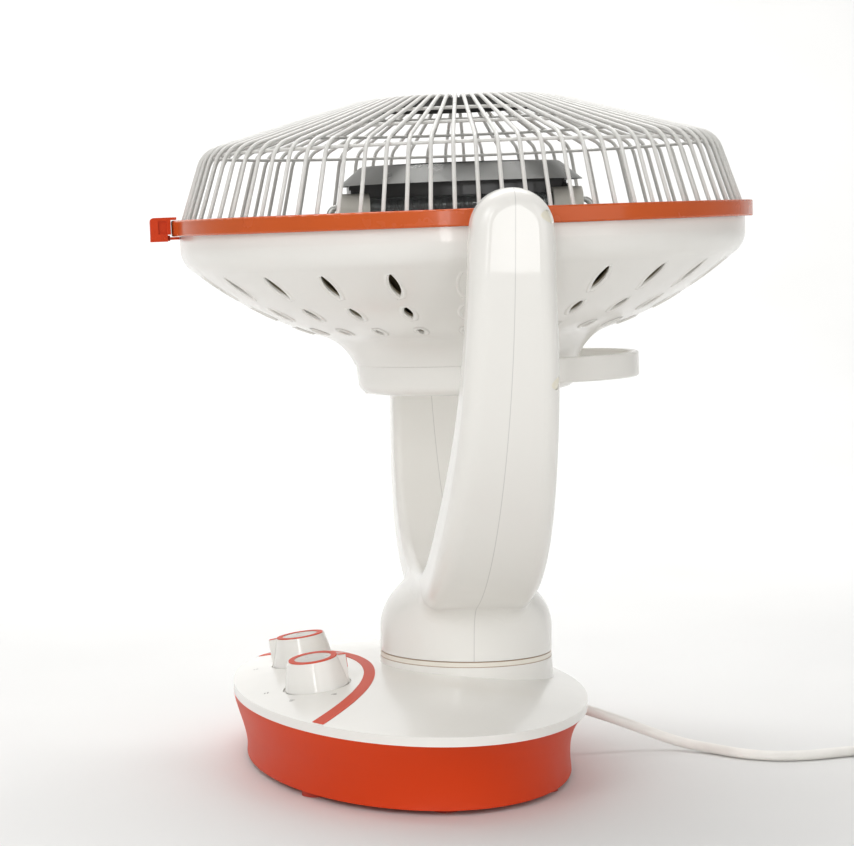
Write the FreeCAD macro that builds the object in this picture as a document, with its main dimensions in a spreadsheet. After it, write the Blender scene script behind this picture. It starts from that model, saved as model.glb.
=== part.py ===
import FreeCAD, Part
import math
import os
import re
import Sketcher
from FreeCAD import Placement, Rotation, Vector

# Free-standing carbon heater: a dish head in a two-armed yoke on a wide oval base.
# Millimetres, +Z up, front is -Y, origin on the table under the swivel axis.

doc = FreeCAD.newDocument("carbon_heater")
sizes = doc.addObject("Spreadsheet::Sheet", "sizes")

DIMENSIONS = {
    # rest pose
    "swing_rest": -4.1,
    "tilt_rest": 2.12,
    # base
    "base_half_width": 172.5,
    "base_half_depth": 104.35,
    "base_forward": 36.8,
    "skirt_foot_half_width": 159.4,
    "skirt_foot_half_depth": 95.7,
    "skirt_top": 41.1,
    "cover_band": 5.4,
    "dome_rise": 14.0,
    "base_wall": 2.5,
    "foot_height": 3.0,
    "foot_radius": 8.0,
    "collar_radius": 52.6,
    "collar_foot_radius": 54.0,
    "collar_top": 63.5,
    "collar_plate": 3.5,
    "crescent_radius": 182.0,
    "crescent_reach": 59.5,
    "crescent_inner_radius": 165.0,
    "crescent_inner_reach": 66.0,
    "crescent_proud": 0.3,
    "crescent_depth": 0.9,
    "ballast_half_width": 128.0,
    "ballast_half_depth": 62.0,
    "ballast_thickness": 6.0,
    # swivel
    "slip_ring_radius": 52.3,
    "slip_ring_bore": 40.0,
    "slip_ring_height": 3.4,
    "spindle_radius": 11.0,
    "spindle_plate_radius": 48.2,
    "running_gap": 0.05,
    # yoke
    "hub_radius": 52.4,
    "hub_bottom": 67.2,
    "yoke_wall": 2.6,
    "arm_inner": 180.0,
    "arm_outer": 204.0,
    "arm_end_height": 322.0,
    "arm_end_half_width": 22.5,
    "tilt_axis_lead": 2.5,
    "pivot_height": 313.6,
    "pivot_radius": 5.0,
    # head
    "ring_above_pivot": 16.0,
    "ring_radius": 175.0,
    "ring_half_height": 4.75,
    "ring_sheet": 1.2,
    "shell_radius": 170.2,
    "shell_wall": 2.3,
    "neck_radius": 68.0,
    "neck_level": -86.0,
    "cap_radius": 67.2,
    "cap_foot_radius": 66.2,
    "cap_level": -103.5,
    "cap_wall": 2.5,
    "vent_rows": 24,
    "handle_radius": 55.0,
    "handle_centre": 50.4,
    "handle_band": 15.0,
    "handle_wall": 4.0,
    "handle_level": -99.0,
    # guard
    "guard_wires": 80,
    "guard_wire_radius": 1.15,
    "guard_hoop_radius": 1.0,
    "guard_disc_radius": 50.0,
    "guard_disc_top": 70.3,
    "guard_disc_thickness": 5.0,
    "disc_sheet": 1.0,
    # heating parts
    "dish_sheet": 0.8,
    "dish_floor": -57.0,
    "dish_floor_radius": 72.0,
    "shield_rim_radius": 74.0,
    "shield_top_radius": 60.0,
    "shield_rim_level": 21.3,
    "shield_top_level": 32.7,
    "tube_level": 9.0,
    "tube_length": 118.0,
    "tube_radius": 5.2,
    "tube_wall": 0.9,
    "spiral_radius": 2.9,
    "spiral_wire": 0.65,
    "spiral_turns": 22,
    "bracket_reach": 66.0,
    # latch
    "latch_width": 24.0,
    "latch_reach": 187.6,
    "latch_pin_radius": 1.5,
    # knobs
    "knob_side": 41.0,
    "knob_front": 96.5,
    "knob_stagger": 2.2,
    "knob_foot_radius": 19.0,
    "knob_top_radius": 15.2,
    "knob_height": 17.0,
    "knob_nose": 19.4,
    "knob_lift": -0.7,
    "knob_ring_radius": 14.4,
    "knob_disc_radius": 11.0,
    "knob_recess_radius": 20.4,
    "knob_recess_depth": 1.6,
    "knob_inlay": 1.0,
    "shaft_radius": 3.0,
    # supply cord
    "cord_diameter": 6.3,
    "coil_pitch": 7.0,
    "coil_layer": 6.9,
    "coil_inner_radius": 24.5,
    "coil_turns": 6.5,
    "plug_length": 34.0,
    "plug_width": 30.0,
    "plug_pin_radius": 2.4,
    "plug_pin_length": 19.0,
    "plug_pin_spacing": 19.0,
}

for row, (alias, number) in enumerate(DIMENSIONS.items(), start=1):
    sizes.set("A%d" % row, alias)
    sizes.set("B%d" % row, str(number))
    sizes.setAlias("B%d" % row, alias)
doc.recompute()

X_AXIS = Vector(1, 0, 0)
Y_AXIS = Vector(0, 1, 0)
Z_AXIS = Vector(0, 0, 1)
ORIGIN = Vector(0, 0, 0)
SIDES = (-1, 1)
nodes = []


def size(alias):
    return float(sizes.get(alias))


def formula(text):
    """Point each word of a formula at its cell of the sheet."""
    return re.sub(r"[a-z_]{3,}", lambda word: "sizes." + word.group(), text)


def value(text):
    """The number that a formula of cells stands for."""
    return float(sizes.evalExpression(formula(text)))


def bind(thing, **formulas):
    for prop, text in formulas.items():
        thing.setExpression(prop, formula(text))


def turn(axis, degrees):
    return Placement(ORIGIN, Rotation(axis, degrees))


def move(x, y, z):
    return Placement(Vector(x, y, z), Rotation())


def finished(label, thing, frame):
    """Name a sub-part, put it in its body's frame and list it for writing."""
    thing.Label = label
    thing.Placement = frame.multiply(thing.Placement)
    nodes.append(thing)
    return thing


def shaped(label, shape, frame):
    thing = doc.addObject("Part::Feature", label)
    thing.Shape = shape
    return finished(label, thing, frame)


# Frames: the base stands still, the yoke swings on it and the head tilts in the yoke.

base_frame = Placement()
yoke_frame = turn(Z_AXIS, size("swing_rest"))
pivot_point = move(0, -size("tilt_axis_lead"), size("pivot_height"))
tilted = pivot_point.multiply(turn(X_AXIS, size("tilt_rest")))
head_frame = yoke_frame.multiply(tilted).multiply(move(0, 0, size("ring_above_pivot")))


# Building blocks


def cylinder(name, radius, height, place=Placement()):
    thing = doc.addObject("Part::Cylinder", name)
    bind(thing, Radius=radius, Height=height)
    thing.Placement = place
    return thing


def cone(name, foot, top, height, place=Placement()):
    thing = doc.addObject("Part::Cone", name)
    bind(thing, Radius1=foot, Radius2=top, Height=height)
    thing.Placement = place
    return thing


def box(name, length, width, height, place=Placement()):
    """A block centred on X and Y that stands on its place."""
    thing = doc.addObject("Part::Box", name)
    bind(thing, Length=length, Width=width, Height=height)
    thing.Placement = place.multiply(move(-value(length) / 2, -value(width) / 2, 0))
    return thing


def fused(name, things):
    thing = doc.addObject("Part::MultiFuse", name)
    thing.Shapes = things
    return thing


def cut(name, base, tool):
    thing = doc.addObject("Part::Cut", name)
    thing.Base = base
    thing.Tool = tool
    return thing


def grouped(name, things):
    thing = doc.addObject("Part::Compound", name)
    thing.Links = things
    return thing


def origin_plane(body, role):
    return next(feature for feature in body.Origin.OriginFeatures if feature.Role == role)


def turned(label, profile, frame, rounded=()):
    """A body revolved about Z from corners given as radius and level formulas."""
    body = doc.addObject("PartDesign::Body", label)
    sketch = body.newObject("Sketcher::SketchObject", label + "_profile")
    sketch.AttachmentSupport = [(origin_plane(body, "XZ_Plane"), "")]
    sketch.MapMode = "FlatFace"
    corners = [Vector(value(radius), value(level), 0) for radius, level in profile]
    count = len(corners)
    for index in range(count):
        sketch.addGeometry(Part.LineSegment(corners[index], corners[(index + 1) % count]))
    for index in range(count):
        sketch.addConstraint(Sketcher.Constraint("Coincident", index, 2, (index + 1) % count, 1))
    for index, (radius, level) in enumerate(profile):
        across = sketch.addConstraint(
            Sketcher.Constraint("DistanceX", -1, 1, index, 1, corners[index].x))
        along = sketch.addConstraint(
            Sketcher.Constraint("DistanceY", -1, 1, index, 1, corners[index].y))
        sketch.setExpression("Constraints[%d]" % across, formula(radius))
        sketch.setExpression("Constraints[%d]" % along, formula(level))
    revolution = body.newObject("PartDesign::Revolution", label + "_turning")
    revolution.Profile = sketch
    revolution.ReferenceAxis = (sketch, ["V_Axis"])
    revolution.Angle = 360
    doc.recompute()
    for number, (radius, level, fillet) in enumerate(rounded):
        base = body.Tip
        edges = [
            "Edge%d" % (index + 1)
            for index, edge in enumerate(base.Shape.Edges)
            if isinstance(edge.Curve, Part.Circle)
            and abs(edge.Curve.Radius - value(radius)) < 0.01
            and abs(edge.Curve.Center.z - value(level)) < 0.01
        ]
        rounding = body.newObject("PartDesign::Fillet", "%s_rounding%d" % (label, number))
        rounding.Base = (base, edges)
        rounding.Radius = fillet
        doc.recompute()
    return finished(label, body, frame)


def arc(first, middle, last):
    return Part.Arc(Vector(*first), Vector(*middle), Vector(*last)).toShape()


def line(first, last):
    return Part.LineSegment(Vector(*first), Vector(*last)).toShape()


def revolved(face):
    return face.revolve(ORIGIN, Z_AXIS, 360)


def stretched(shape, along_x):
    matrix = FreeCAD.Matrix()
    matrix.scale(along_x, 1, 1)
    return shape.transformGeometry(matrix)


def rod(start, end, radius):
    """A plain round bar between two points."""
    axis = end - start
    return Part.makeCylinder(radius, axis.Length, start, axis)


def rounded_path(points, radii):
    """Straight runs through the points, with a tangent arc of its own radius at each corner."""
    edges = []
    start = points[0]
    for before, corner, after, radius in zip(points, points[1:], points[2:], radii):
        back = (before - corner).normalize()
        on = (after - corner).normalize()
        half = back.getAngle(on) / 2
        reach = radius / math.tan(half)
        middle = (back + on).normalize() * (radius / math.sin(half) - radius)
        first = corner + back * reach
        last = corner + on * reach
        edges.append(Part.LineSegment(start, first).toShape())
        edges.append(Part.Arc(first, corner + middle, last).toShape())
        start = last
    edges.append(Part.LineSegment(start, points[-1]).toShape())
    return Part.Wire(edges)


def tube_along(path, radius):
    """A solid round tube along a path of tangent lines and arcs."""
    first = path.OrderedEdges[0]
    start = first.valueAt(first.FirstParameter)
    heading = first.tangentAt(first.FirstParameter)
    section = Part.Wire([Part.Circle(start, heading, radius).toShape()])
    return path.makePipeShell([section], True, False)


def biarc(start, heading, end, final):
    """Two arcs from one point and direction to another, tangent where they meet."""
    gap = end - start
    spread = heading + final
    mixed = gap.dot(spread)
    bend = 2 * (1 - heading.dot(final))
    reach = (math.sqrt(mixed * mixed + bend * gap.dot(gap)) - mixed) / bend
    joint = (start + end + (heading - final) * reach) * 0.5
    middles = []
    for point, direction in ((start, heading), (end, final * -1)):
        chord = joint - point
        inward = direction.cross(chord).cross(direction).normalize()
        radius = chord.dot(chord) / (2 * chord.dot(inward))
        centre = point + inward * radius
        middles.append(centre + ((point + joint) * 0.5 - centre).normalize() * radius)
    return [
        Part.Arc(start, middles[0], joint).toShape(),
        Part.Arc(joint, middles[1], end).toShape(),
    ]


def wound_path(place, spans, lead):
    """A path through the points of a winding formula, with straight ends of length lead."""
    step = 1e-4
    points = [place(index / spans) for index in range(spans + 1)]
    headings = []
    for index in range(spans + 1):
        low = max(0.0, index / spans - step)
        high = min(1.0, index / spans + step)
        headings.append((place(high) - place(low)).normalize())
    edges = [Part.LineSegment(points[0] - headings[0] * lead, points[0]).toShape()]
    for index in range(spans):
        edges += biarc(points[index], headings[index], points[index + 1], headings[index + 1])
    edges.append(Part.LineSegment(points[-1], points[-1] + headings[-1] * lead).toShape())
    return Part.Wire(edges)


def least_self_gap(path, diameter):
    """The smallest distance between two turns of a winding, less the tube's diameter."""
    spots = path.discretize(Distance=diameter / 3)
    skip = int(4 * diameter / (path.Length / len(spots)))
    least = min(
        spots[first].distanceToPoint(spots[second])
        for first in range(len(spots))
        for second in range(first + skip, len(spots))
    )
    return least - diameter


# Base: skirt, top cover and what is fixed in them

half_width = size("base_half_width")
half_depth = size("base_half_depth")
base_y = -size("base_forward")
wall = size("base_wall")
skirt_foot = size("foot_height")
skirt_top = size("skirt_top")
skirt_height = skirt_top - skirt_foot
band_top = skirt_top + size("cover_band")
dome_top = band_top + size("dome_rise")

# Each row of the skirt: share of its height, share of its flare, and how far it sits forward.
SKIRT_ROWS = ((0.0, 0.0, 0.4), (0.42, 0.06, 1.6), (0.72, 0.42, 2.2), (1.0, 1.0, 0.0))


def dome_level(x, y):
    """Height of the cover's top face over a point of the base."""
    return band_top + size("dome_rise") * (1 - (x / half_width) ** 2 - ((y - base_y) / half_depth) ** 2)


def oval(level, wide, deep, forward=0.0):
    curve = Part.Ellipse(Vector(0, base_y - forward, level), wide, deep)
    return Part.Wire([curve.toShape()])


def skirt(inset, floor):
    """The flared oval of the skirt, drawn in by inset and with its floor raised."""
    rings = []
    for rise, flare, forward in SKIRT_ROWS:
        wide = size("skirt_foot_half_width") + flare * (half_width - size("skirt_foot_half_width"))
        deep = size("skirt_foot_half_depth") + flare * (half_depth - size("skirt_foot_half_depth"))
        level = skirt_foot + floor + rise * (skirt_height - floor)
        rings.append(oval(level, wide - inset, deep - inset, forward))
    return Part.makeLoft(rings, True, False)


FOOT_PLACES = [(side * x, y) for side in SIDES for x, y in ((90.0, -107.0), (142.0, -42.0), (103.0, 24.0))]
SCREW_PLACES = [(side * x, y) for side in SIDES for x, y in ((118.0, -62.0), (84.0, 20.0))]

# The bushing stands square to the skirt's rear wall, which leans.
BUSHING_REACH = 8.6
BUSHING_TILT = 20.0
bushing_frame = Placement(Vector(0, 60.8, 31.5), Rotation(X_AXIS, -90 - BUSHING_TILT))


def base_tub():
    tub = skirt(0, 0).cut(skirt(wall, wall))
    drills = [Part.makeCylinder(2.2, 9, Vector(x, y, skirt_foot - 1)) for x, y in SCREW_PLACES]
    bushing_hole = Part.makeCylinder(5.5, 20, Vector(0, 0, -10))
    bushing_hole.Placement = bushing_frame
    drills.append(bushing_hole)
    return tub.cut(Part.makeCompound(drills))


def dome(lift):
    """The solid under the cover's domed face, raised by lift, reaching down to the skirt."""
    rise = size("dome_rise")
    middle = (half_depth / 2, 0, band_top + lift + rise * 0.75)
    edges = [
        line((0, 0, skirt_top), (half_depth, 0, skirt_top)),
        line((half_depth, 0, skirt_top), (half_depth, 0, band_top + lift)),
        arc((half_depth, 0, band_top + lift), middle, (0, 0, dome_top + lift)),
        line((0, 0, dome_top + lift), (0, 0, skirt_top)),
    ]
    solid = stretched(revolved(Part.Face(Part.Wire(edges))), half_width / half_depth)
    solid.translate(Vector(0, base_y, 0))
    return solid


def hollow_dome():
    """The room under the cover's dome."""
    inner = half_depth - wall
    rise = size("dome_rise")
    low = skirt_top - 1
    middle = (inner / 2, 0, band_top - wall + rise * 0.75)
    edges = [
        line((0, 0, low), (inner, 0, low)),
        line((inner, 0, low), (inner, 0, band_top - wall)),
        arc((inner, 0, band_top - wall), middle, (0, 0, dome_top - wall)),
        line((0, 0, dome_top - wall), (0, 0, low)),
    ]
    solid = stretched(revolved(Part.Face(Part.Wire(edges))), half_width / half_depth)
    solid.translate(Vector(0, base_y, 0))
    return solid


def crescent():
    """The curved strip let into the cover between the knobs and the hub."""
    outer = size("crescent_radius")
    centre = Vector(0, -size("crescent_reach") - outer, skirt_top)
    ring = Part.makeCylinder(outer, 60, centre)
    inner = size("crescent_inner_radius")
    inner_centre = Vector(0, -size("crescent_inner_reach") - inner, skirt_top)
    ring = ring.cut(Part.makeCylinder(inner, 60, inner_centre))
    layer = dome(size("crescent_proud")).cut(dome(-size("crescent_depth")))
    inside = Part.Face(oval(skirt_top, half_width - 1.5, half_depth - 1.5)).extrude(Vector(0, 0, 60))
    back = Part.makeBox(400, 200, 100, Vector(-200, -130, skirt_top))
    return layer.common(ring).common(inside).common(back)


def knob_frame(side):
    """Where a knob sits: square to the cover, with its shaft along Z."""
    x = side * size("knob_side")
    y = -size("knob_front") - side * size("knob_stagger")
    slope_x = -2 * size("dome_rise") * x / half_width ** 2
    slope_y = -2 * size("dome_rise") * (y - base_y) / half_depth ** 2
    normal = Vector(-slope_x, -slope_y, 1)
    return Placement(Vector(x, y, dome_level(x, y)), Rotation(Z_AXIS, normal))


def base_top_cover(trim):
    collar_foot = band_top
    collar_height = size("collar_top") - collar_foot
    foot_radius = size("collar_foot_radius")
    top_radius = size("collar_radius")
    plate = size("collar_plate")
    collar = Part.makeCone(foot_radius, top_radius, collar_height, Vector(0, 0, collar_foot))
    cover = dome(0).fuse(collar).cut(hollow_dome())
    cover = cover.cut(Part.makeCone(foot_radius - wall, top_radius - wall, collar_height - plate,
                                    Vector(0, 0, collar_foot)))
    cover = cover.cut(Part.makeCylinder(14.0, 40, Vector(0, 0, collar_foot)))
    posts = []
    bores = []
    for x, y in SCREW_PLACES:
        foot = skirt_foot + wall + 0.2
        posts.append(Part.makeCylinder(4.5, dome_level(x, y) - 1.2 - foot, Vector(x, y, foot)))
        bores.append(Part.makeCylinder(1.85, 16, Vector(x, y, skirt_foot + wall)))
    for side in SIDES:
        hole = Part.makeCylinder(5.3, 30, Vector(0, 0, -15))
        recess = Part.makeCylinder(size("knob_recess_radius"), 8, Vector(0, 0, -size("knob_recess_depth")))
        for room in (hole, recess):
            room.Placement = knob_frame(side)
            bores.append(room)
    cover = cover.fuse(posts).cut(Part.makeCompound(bores))
    return cover.cut(trim)


shaped("base_tub", base_tub(), base_frame)
trim = crescent()
shaped("crescent_trim", trim, base_frame)
shaped("base_top_cover", base_top_cover(trim), base_frame)

feet = [cylinder("foot", "foot_radius", "foot_height", move(x, y, 0)) for x, y in FOOT_PLACES]
finished("rubber_feet", grouped("feet", feet), base_frame)


def base_screw(x, y):
    head = cylinder("screw_head", "3.6", "2", move(x, y, skirt_foot - 2))
    shank = cylinder("screw_shank", "1.8", "17", move(x, y, skirt_foot - 1))
    return fused("base_screw", [head, shank])


finished("base_screws", grouped("base_screw_set", [base_screw(x, y) for x, y in SCREW_PLACES]), base_frame)

plate_outline = doc.addObject("Part::Ellipse", "ballast_outline")
bind(plate_outline, MajorRadius="ballast_half_width", MinorRadius="ballast_half_depth")
ballast = doc.addObject("Part::Extrusion", "ballast")
ballast.Base = plate_outline
ballast.Dir = Z_AXIS
ballast.Solid = True
bind(ballast, LengthFwd="ballast_thickness")
post_room = grouped("ballast_holes", [
    cylinder("ballast_hole", "6", "30", move(x, y - base_y + 4, -5)) for x, y in SCREW_PLACES])
ballast_plate = cut("ballast_drilled", ballast, post_room)
ballast_plate.Placement = move(0, base_y - 4, skirt_foot + wall + 0.1)
finished("ballast_plate", ballast_plate, base_frame)

tip_place = move(-96, -60, skirt_foot + wall + size("ballast_thickness") + 0.2)
finished("tip_over_switch", fused("tip_switch", [
    box("tip_case", "24", "18", "14", tip_place),
    cylinder("tip_dome", "7", "18", tip_place),
]), base_frame)

turned("slip_ring", [
    ("slip_ring_bore", "collar_top"),
    ("slip_ring_radius", "collar_top"),
    ("slip_ring_radius", "collar_top + slip_ring_height"),
    ("slip_ring_bore", "collar_top + slip_ring_height"),
], base_frame)

turned("spindle_bush", [
    ("spindle_radius + running_gap", "collar_top - 6"),
    ("spindle_radius + 8", "collar_top - 6"),
    ("spindle_radius + 8", "collar_top - collar_plate"),
    ("spindle_radius + 2.98", "collar_top - collar_plate"),
    ("spindle_radius + 2.98", "collar_top + 2"),
    ("spindle_radius + running_gap", "collar_top + 2"),
], base_frame)

turned("cord_bushing", [
    ("0", "-13"),
    ("5.2", "-13"),
    ("5.2", "-8"),
    ("9", "-8"),
    ("9", "-4.8"),
    ("5.2", "-4.8"),
    ("5.2", "2.3"),
    ("6.6", "2.3"),
    ("5.0", "%g" % BUSHING_REACH),
    ("0", "%g" % BUSHING_REACH),
], bushing_frame)


# Knobs, their inlays, shafts and switches


def knob(name, side, pointer):
    """A pointer knob with its ring, disc and shaft; pointer is the nose's bearing at rest."""
    place = knob_frame(side).multiply(turn(Z_AXIS, pointer)).multiply(move(0, 0, size("knob_lift")))
    top = move(0, 0, size("knob_height") - size("knob_inlay"))
    barrel = cone(name + "_barrel", "knob_foot_radius", "knob_top_radius", "knob_height")
    nose = doc.addObject("Part::Wedge", name + "_nose")
    bind(nose, Ymin="9", Ymax="knob_nose", Xmin="-6.5", Xmax="6.5")
    bind(nose, X2min="-2.4", X2max="2.4")
    bind(nose, Zmin="0", Zmax="knob_height", Z2min="0", Z2max="knob_height - 0.4")
    ring = cut(name + "_ring_band",
               cylinder(name + "_ring_outer", "knob_ring_radius", "knob_inlay + 0.5", top),
               cylinder(name + "_ring_inner", "knob_disc_radius", "knob_inlay + 0.5", top))
    disc = cylinder(name + "_disc", "knob_disc_radius", "knob_inlay + 0.2", top)
    bore = cylinder(name + "_bore", "shaft_radius + 0.02", "12")
    room = fused(name + "_room", [
        cylinder(name + "_inlay_room", "knob_ring_radius", "knob_inlay + 5", top), bore])
    solid = cut(name + "_solid", fused(name + "_form", [barrel, nose]), room)
    finished(name, solid, place)
    finished(name + "_ring", ring, place)
    finished(name + "_disc", disc, place)
    shaft = cylinder(name + "_pin", "shaft_radius", "24", move(0, 0, -12.5))
    finished(name.replace("knob", "shaft"), shaft, place)


def switch(name, side, length, depth):
    case = box(name + "_case", length, length, depth, move(0, 0, -13.4 - value(depth)))
    neck = cylinder(name + "_neck", "5", "12.2", move(0, 0, -13.5))
    bore = cylinder(name + "_bore", "shaft_radius + running_gap", "30", move(0, 0, -13.4))
    finished(name, cut(name + "_body", fused(name + "_form", [case, neck]), bore), knob_frame(side))


knob("heat_knob", 1, -8.0)
switch("heat_switch", 1, "28", "16")
knob("timer_knob", -1, 165.0)
switch("timer_switch", -1, "34", "18")


# Supply cord: the free length, then a tied coil with the plug beside it

cord_radius = size("cord_diameter") / 2
exit_point = bushing_frame.multVec(Vector(0, 0, BUSHING_REACH + 0.1))
CORD_ROUTE = [
    tuple(exit_point),
    (0.0, 92.0, 20.7),
    (0.5, 113.0, 12.5),
    (7.0, 134.0, 4.9),
    (22.0, 150.5, 3.3),
    (41.0, 163.0, 3.3),
    (53.0, 181.0, 3.3),
    (54.0, 203.0, 3.3),
    (48.0, 225.0, 3.3),
    (45.0, 247.0, 3.6),
    (40.0, 266.0, 4.5),
]


def cord_radii(points):
    """The largest arc that each corner's two runs leave room for."""
    radii = []
    for before, corner, after in zip(points, points[1:], points[2:]):
        shorter = min((corner - before).Length, (after - corner).Length)
        bend = (corner - before).getAngle(after - corner)
        radii.append(0.45 * shorter / math.tan(bend / 2))
    return radii


route = [Vector(*point) for point in CORD_ROUTE]
bends = cord_radii(route)
cord_path = rounded_path(route, bends)
cord_tube = tube_along(cord_path, cord_radius)
shaped("power_cord", cord_tube, base_frame)
print("cord bend radii", [round(radius, 1) for radius in bends])
print("cord volume ratio", round(cord_tube.Volume / (math.pi * cord_radius ** 2 * cord_path.Length), 4))

coil_turns = size("coil_turns")


def coil_spot(share):
    """A point of the coil: in along the floor, up a layer, and out again on top."""
    turns = share * coil_turns
    offset = turns - coil_turns / 2
    spread = abs(offset)
    if spread < 0.25:
        spread = 2 * spread * spread + 0.125
    lift = min(1.0, max(0.0, offset * 2 + 0.5))
    radius = size("coil_inner_radius") + size("coil_pitch") * spread
    level = size("coil_layer") * (0.5 - 0.5 * math.cos(math.pi * lift))
    angle = -2 * math.pi * turns
    return Vector(radius * math.cos(angle), radius * math.sin(angle), level)


heading = (route[-1] - route[-2])
heading = Vector(heading.x, heading.y, 0).normalize()
first_step = coil_spot(1e-4) - coil_spot(0)
swing_in = math.degrees(math.atan2(heading.y, heading.x) - math.atan2(first_step.y, first_step.x))
coil_turned = turn(Z_AXIS, swing_in)
coil_start = route[-1] + heading * size("cord_diameter")
coil_centre = coil_start - coil_turned.multVec(coil_spot(0))
coil_frame = Placement(coil_centre, coil_turned.Rotation)
coil_path = wound_path(coil_spot, int(coil_turns * 4), size("cord_diameter"))
coil_tube = tube_along(coil_path, cord_radius)
shaped("cord_coil", coil_tube, coil_frame)
print("coil centre", coil_centre, "turned", swing_in, "cord and coil length",
      round(cord_path.Length + coil_path.Length))
print("coil least gap", round(least_self_gap(coil_path, size("cord_diameter")), 2))
print("coil volume ratio", round(coil_tube.Volume / (math.pi * cord_radius ** 2 * coil_path.Length), 4))

TIE_SHEET = 0.8
TIE_GAP = 0.35
tie_inner = size("coil_inner_radius") - cord_radius - TIE_GAP
tie_outer = size("coil_inner_radius") + size("coil_pitch") * coil_turns / 2 + cord_radius + TIE_GAP
tie_length = "%g" % (tie_outer - tie_inner)
tie_height = "coil_layer + cord_diameter + 0.7"
tie_place = coil_frame.multiply(turn(Z_AXIS, -90)).multiply(
    move((tie_inner + tie_outer) / 2, 0, -cord_radius - TIE_GAP))
finished("coil_tie", cut("tie_band",
    box("tie_outside", tie_length + " + 1.6", "9", tie_height + " + 1.6",
        tie_place.multiply(move(0, 0, -TIE_SHEET))),
    box("tie_inside", tie_length, "12", tie_height, tie_place)), base_frame)

coil_end = coil_path.OrderedEdges[-1]
plug_start = coil_frame.multVec(coil_end.valueAt(coil_end.LastParameter))
plug_heading = coil_frame.Rotation.multVec(coil_end.tangentAt(coil_end.LastParameter))
plug_turn = Rotation(plug_heading.cross(Z_AXIS) * -1, Z_AXIS * 1, plug_heading, "ZYX")
plug_frame = Placement(plug_start, plug_turn)
RELIEF = 30.0
plug_half_height = plug_start.z - 0.1
relief = cone("plug_relief", "cord_diameter / 2 + 0.6", "7", "%g" % RELIEF)
plug_body = box("plug_block", "plug_width", "%g" % (2 * plug_half_height), "plug_length",
                move(0, 0, RELIEF - 0.5))
plug_soft = doc.addObject("Part::Fillet", "plug_rounded")
plug_soft.Base = plug_body
doc.recompute()
plug_soft.Edges = [(index + 1, 5.0, 5.0) for index, edge in enumerate(plug_body.Shape.Edges)
                   if abs(edge.Length - size("plug_length")) < 0.01]
finished("power_plug", fused("plug_form", [relief, plug_soft]), plug_frame)
pins = [cylinder("plug_pin", "plug_pin_radius", "plug_pin_length",
                 move(side * size("plug_pin_spacing") / 2, 0, RELIEF - 0.5 + size("plug_length")))
        for side in SIDES]
finished("plug_pins", grouped("plug_pin_pair", pins), plug_frame)


# Yoke: two half shells clamped round the spindle plate, with the head between the arms

arm_y = -size("tilt_axis_lead")
pivot_z = size("pivot_height")
yoke_wall = size("yoke_wall")

# Each arm station: bearing from straight down, inner reach, outer reach, half width, middle's Y.
ARM_STATIONS = (
    (0.0, 197.5, 221.0, 32.5, -0.3),
    (15.0, 195.0, 222.0, 32.5, -0.3),
    (30.0, 187.5, 218.0, 32.1, -0.3),
    (45.0, 182.0, 212.5, 30.0, -0.4),
    (60.0, 180.0, 208.5, 27.3, -0.7),
    (75.0, 180.0, 206.0, 25.0, -1.7),
    (90.0, 180.0, 204.0, 23.0, -2.5),
)

# Each ring of the hub up to its flare into the arms: level, half width, half depth.
HUB_SHOULDER = 80.0
HUB_TOP = 111.0
HUB_STEPS = 12
CREASE_LOW = 96.0
CREASE_REACH = 35.0
CREASE_RADIUS = 14.0


def section(centre, out, inner, outer, half, inset):
    """A rounded oblong across an arm, drawn in by inset on all sides."""
    low = inner + inset
    high = outer - inset
    half = half - inset
    soft_in = 6.0 - min(inset, 4.0)
    soft_out = 10.0 - min(inset, 6.0)
    corners = ((low, -half, soft_in), (high, -half, soft_out), (high, half, soft_out), (low, half, soft_in))
    spots = [centre + out * reach + Y_AXIS * side for reach, side, soft in corners]
    edges = []
    ends = []
    for index, (reach, side, soft) in enumerate(corners):
        corner = spots[index]
        back = (spots[index - 1] - corner).normalize()
        on = (spots[(index + 1) % 4] - corner).normalize()
        first = corner + back * soft
        last = corner + on * soft
        middle = corner + (back + on) * soft * (1 - math.sqrt(0.5))
        ends.append((first, middle, last))
    for index in range(4):
        first, middle, last = ends[index]
        edges.append(Part.Arc(first, middle, last).toShape())
        edges.append(Part.LineSegment(last, ends[(index + 1) % 4][0]).toShape())
    return Part.Wire(edges)


def arm_end(side, inset):
    """The half-round end over an arm's pivot."""
    centre = Vector(0, arm_y, size("arm_end_height"))
    oblong = section(centre, Vector(side, 0, 0), size("arm_inner"), size("arm_outer"),
                     size("arm_end_half_width"), inset)
    half = Part.Face(oblong).common(Part.makeBox(500, 100, 2, Vector(-250, arm_y, centre.z - 1)))
    return half.Faces[0].revolve(centre, X_AXIS, 180)


def fork(inset):
    """The two arms and the bow that joins them, drawn in by inset."""
    rings = []
    bearings = [(-bearing, *rest) for bearing, *rest in reversed(ARM_STATIONS[1:])] + list(ARM_STATIONS)
    for bearing, inner, outer, half, middle in bearings:
        angle = math.radians(bearing)
        out = Vector(math.sin(angle), 0, -math.cos(angle))
        rings.append(section(Vector(0, middle, pivot_z), out, inner, outer, half, inset))
    bow = Part.makeLoft(rings, True, False)
    tops = []
    top_stations = (
        (pivot_z, ARM_STATIONS[-1][3]),
        (size("arm_end_height"), size("arm_end_half_width")),
    )
    for side in SIDES:
        straight = [section(Vector(0, arm_y, level), Vector(side, 0, 0),
                            size("arm_inner"), size("arm_outer"), half, inset)
                    for level, half in top_stations]
        tops.append(Part.makeLoft(straight, True, True))
        tops.append(arm_end(side, inset))
    return bow.fuse(tops)


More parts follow.
